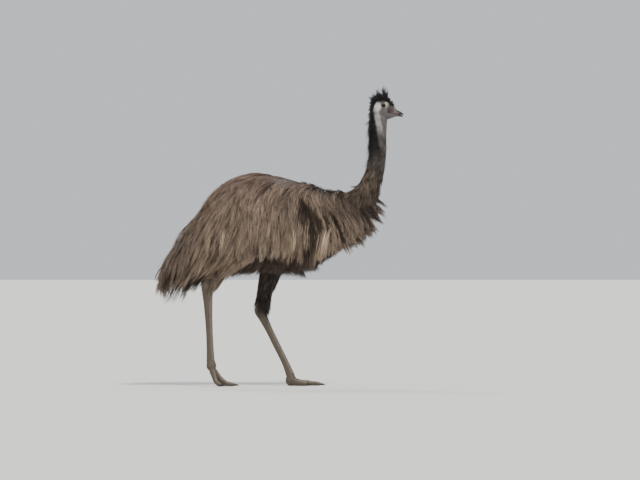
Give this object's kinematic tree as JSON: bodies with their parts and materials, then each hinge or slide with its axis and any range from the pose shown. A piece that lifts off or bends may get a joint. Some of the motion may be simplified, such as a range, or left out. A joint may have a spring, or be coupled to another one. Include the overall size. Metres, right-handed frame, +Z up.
{
  "type": "emu",
  "caption": "Life-size still model of an adult emu in mid stride, with long hanging body plumes, a black crest, a pale face and bare scuted legs.",
  "frame": {"origin": "on the floor, under the middle of the whole bird's box", "axes": "+X the way the bird walks and looks, +Y its left, +Z up"},
  "size_m": [1.3425, 0.4681, 1.6052],
  "materials": {
    "body_plumes": "dull grey-brown plumes, darker in the gaps",
    "black_plumes": "dull black hair-like plumes",
    "face_skin": "matt pale bare skin with fine folds",
    "bill_horn": "satin grey-brown horn, black at the tip",
    "eye": "wet dark brown",
    "leg_plumes": "short dull brown plumes",
    "leg_scales": "dry grey-brown scales",
    "claws": "worn black horn"
  },
  "bodies": {
    "root": {"torso": "body_plumes", "tail": "body_plumes", "neck_lower": "body_plumes", "neck_upper": "black_plumes", "head": "face_skin", "bill_upper": "bill_horn", "bill_lower": "bill_horn", "eye_right": "eye", "eye_left": "eye", "wing_right": "body_plumes", "wing_left": "body_plumes", "drumstick_right": "leg_plumes", "drumstick_left": "leg_plumes", "shank_right": "leg_scales", "shank_left": "leg_scales", "foot_right": "leg_scales", "foot_left": "leg_scales", "toe_right_inner": "leg_scales", "toe_right_middle": "leg_scales", "toe_right_outer": "leg_scales", "toe_left_inner": "leg_scales", "toe_left_middle": "leg_scales", "toe_left_outer": "leg_scales", "claw_right_inner": "claws", "claw_right_middle": "claws", "claw_right_outer": "claws", "claw_left_inner": "claws", "claw_left_middle": "claws", "claw_left_outer": "claws"}
  },
  "joints": []
}
